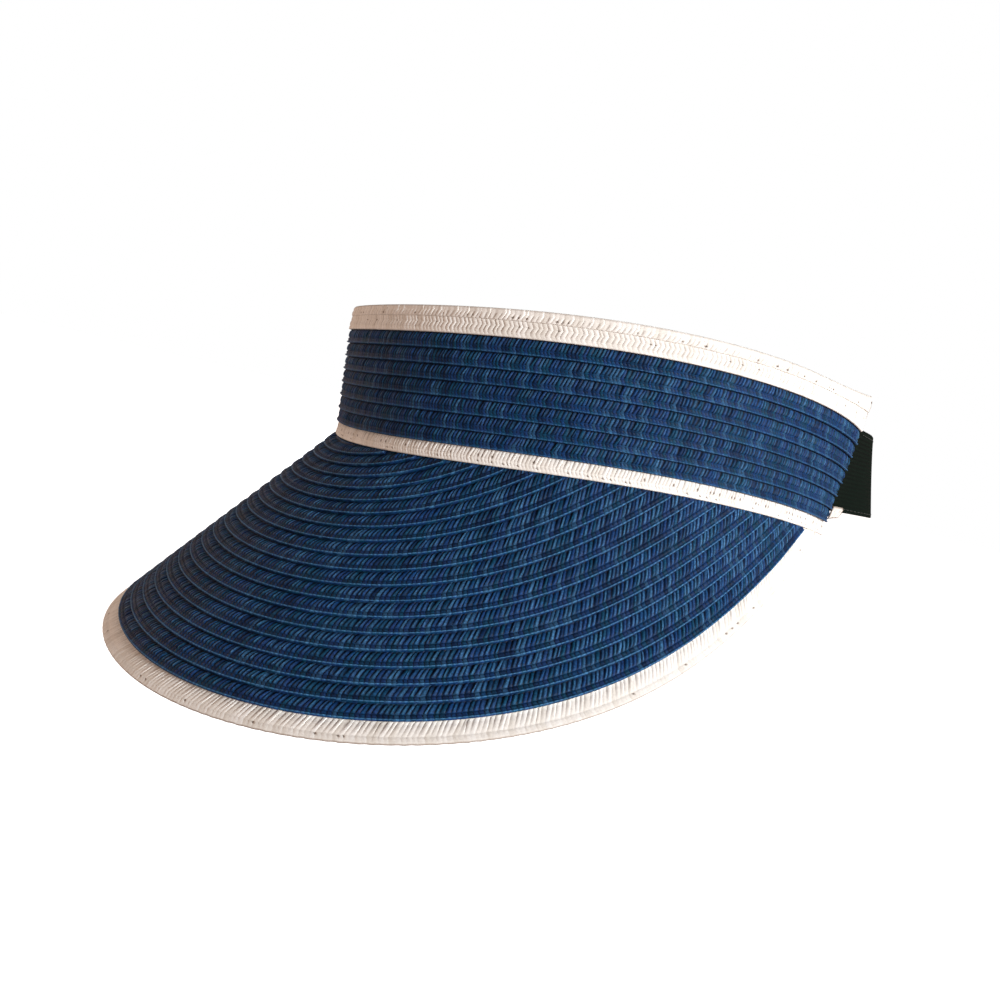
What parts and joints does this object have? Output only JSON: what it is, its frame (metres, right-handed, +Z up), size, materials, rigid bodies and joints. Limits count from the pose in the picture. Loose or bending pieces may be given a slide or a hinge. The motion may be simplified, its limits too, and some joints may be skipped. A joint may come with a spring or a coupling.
{
  "type": "sun visor",
  "caption": "Sun visor with a woven straw-braid band, a wide drooping brim with pale edging, an open crown and a hook-and-loop strap at the back.",
  "frame": {"origin": "centre of the head opening, level with the lower edge of the band at the front", "axes": "-Y is the front of the visor, +X the wearer's left and +Z up"},
  "size_m": [0.225, 0.2822, 0.1332],
  "materials": {
    "navy_braid": "plaited paper straw, satin",
    "pale_braid": "plaited paper straw, matt",
    "sweatband_cloth": "woven cotton",
    "strap_cloth": "woven tape, matt",
    "loop_pile": "soft looped pile",
    "hook_tape": "fine nylon hooks"
  },
  "bodies": {
    "visor": {"band_row_01": "navy_braid", "band_row_02": "navy_braid", "band_row_03": "navy_braid", "band_row_04": "navy_braid", "band_row_05": "navy_braid", "band_row_06": "navy_braid", "band_row_07": "navy_braid", "brim_row_01": "navy_braid", "brim_row_02": "navy_braid", "brim_row_03": "navy_braid", "brim_row_04": "navy_braid", "brim_row_05": "navy_braid", "brim_row_06": "navy_braid", "brim_row_07": "navy_braid", "brim_row_08": "navy_braid", "brim_row_09": "navy_braid", "brim_row_10": "navy_braid", "brim_row_11": "navy_braid", "brim_row_12": "navy_braid", "brim_row_13": "navy_braid", "brim_row_14": "navy_braid", "brim_row_15": "navy_braid", "brim_row_16": "navy_braid", "brim_row_17": "navy_braid", "brim_row_18": "navy_braid", "brim_row_19": "navy_braid", "bottom_trim_braid": "pale_braid", "top_trim_braid": "pale_braid", "top_edge_braid": "pale_braid", "brim_edge_braid": "pale_braid", "lower_tail_left": "pale_braid", "lower_tail_right": "pale_braid", "upper_tail_left": "pale_braid", "upper_tail_right": "pale_braid", "sweatband": "sweatband_cloth"},
    "loop_side": {"loop_strap": "strap_cloth", "loop_patch": "loop_pile"},
    "hook_side": {"hook_strap": "strap_cloth", "hook_patch": "hook_tape"}
  },
  "joints": [
    {"name": "hook_strap_peel", "type": "hinge", "parent": "visor", "child": "hook_side", "pos_m": [-0.06799, 0.06295, 0.03074], "axis": [-0.0689, 0.0504, 0.9963], "range_deg": [0, 90]},
    {"name": "loop_strap_fold", "type": "hinge", "parent": "visor", "child": "loop_side", "pos_m": [0.06799, 0.06295, 0.03074], "axis": [0.0689, 0.0504, 0.9963], "range_deg": [0, 40]}
  ]
}
